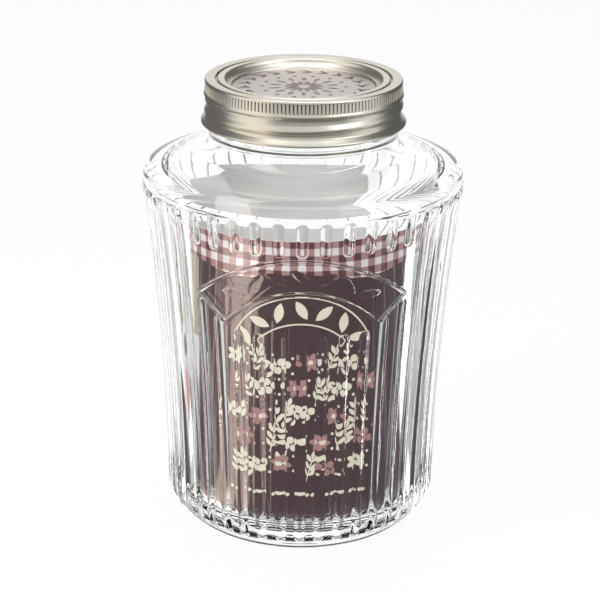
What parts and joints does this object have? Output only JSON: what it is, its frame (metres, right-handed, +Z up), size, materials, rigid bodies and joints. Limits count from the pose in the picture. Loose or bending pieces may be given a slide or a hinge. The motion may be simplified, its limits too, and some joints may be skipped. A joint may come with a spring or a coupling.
{
  "type": "preserving jar",
  "caption": "Ribbed glass preserving jar with a flared body, arched front field, two-piece screw lid and a curled printed card standing inside.",
  "frame": {"origin": "middle of the foot ring, on the surface that the jar stands on", "axes": "+Z up along the jar's axis, -Y towards the front with the arched field, +X to the front's right"},
  "size_m": [0.1214, 0.1214, 0.1766],
  "materials": {
    "glass": "clear polished pressed glass",
    "lid_tinplate": "pale lacquered tinplate with a mauve-grey print",
    "band_tinplate": "pale champagne tinplate",
    "card": "coated board, dark plum print outside, white inside"
  },
  "bodies": {
    "root": {"glass_jar": "glass", "lid_disc": "lid_tinplate", "screw_band": "band_tinplate", "card_insert": "card"}
  },
  "joints": []
}
